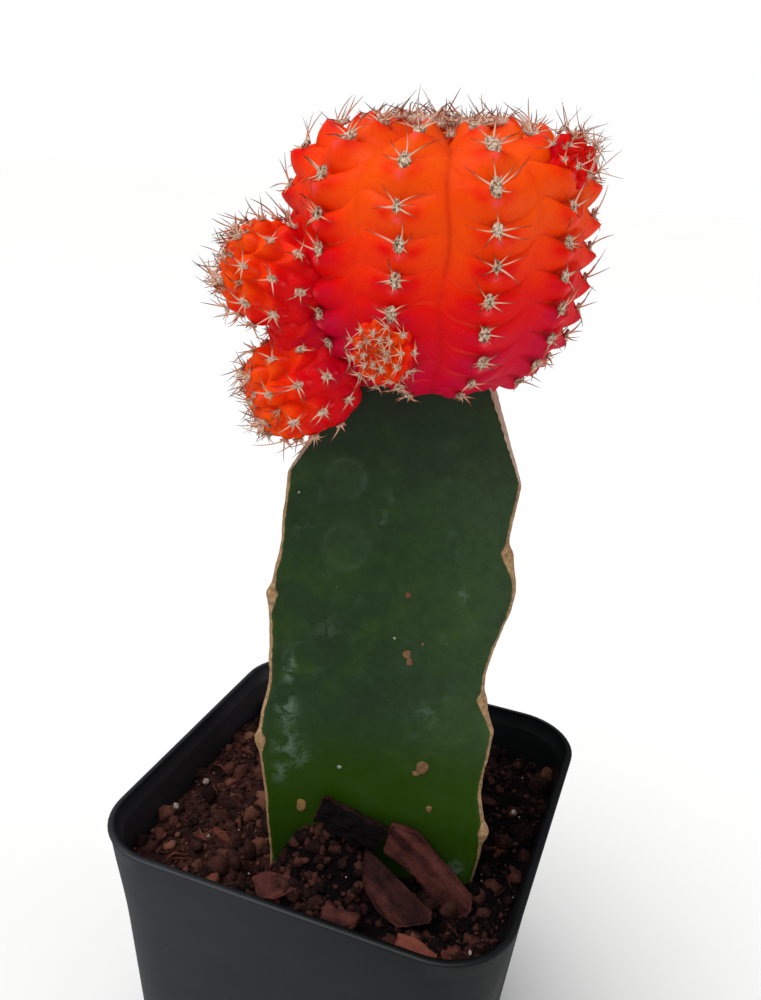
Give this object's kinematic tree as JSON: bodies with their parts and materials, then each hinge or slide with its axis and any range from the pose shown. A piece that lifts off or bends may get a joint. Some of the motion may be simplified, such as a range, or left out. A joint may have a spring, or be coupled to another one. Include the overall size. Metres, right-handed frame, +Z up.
{
  "type": "potted moon cactus",
  "caption": "Grafted cactus: a ribbed orange-red head with young offsets on a three-winged green stem, standing in potting mix in a square tapered nursery pot.",
  "frame": {"origin": "middle of the pot's underside, on the surface it stands on", "axes": "+Z up; -Y is the side of the pot towards which the stem's broad face and the front offset look; +X is right seen from there"},
  "size_m": [0.0798, 0.0798, 0.2034],
  "materials": {
    "pot_plastic": "satin black injection-moulded plastic with dust specks",
    "potting_mix": "dark damp peat and coir with fibres and white perlite",
    "stem_skin": "waxy dark green skin with tan corky margins",
    "head_flesh": "waxy orange-red flesh, crimson low down, with woolly areoles and brown-tipped spines",
    "offset_flesh": "waxy orange flesh with woolly areoles and brown-tipped spines",
    "bark": "reddish-brown pine bark"
  },
  "bodies": {
    "root": {"pot": "pot_plastic", "soil": "potting_mix", "rootstock": "stem_skin", "scion_head": "head_flesh", "offset_upper_left": "offset_flesh", "offset_lower_left": "offset_flesh", "offset_front": "offset_flesh", "offset_upper_right": "offset_flesh", "bark_chip_1": "bark", "bark_chip_2": "bark", "bark_chip_3": "bark", "bark_chip_4": "bark", "bark_chip_5": "bark", "bark_chip_6": "bark"}
  },
  "joints": []
}
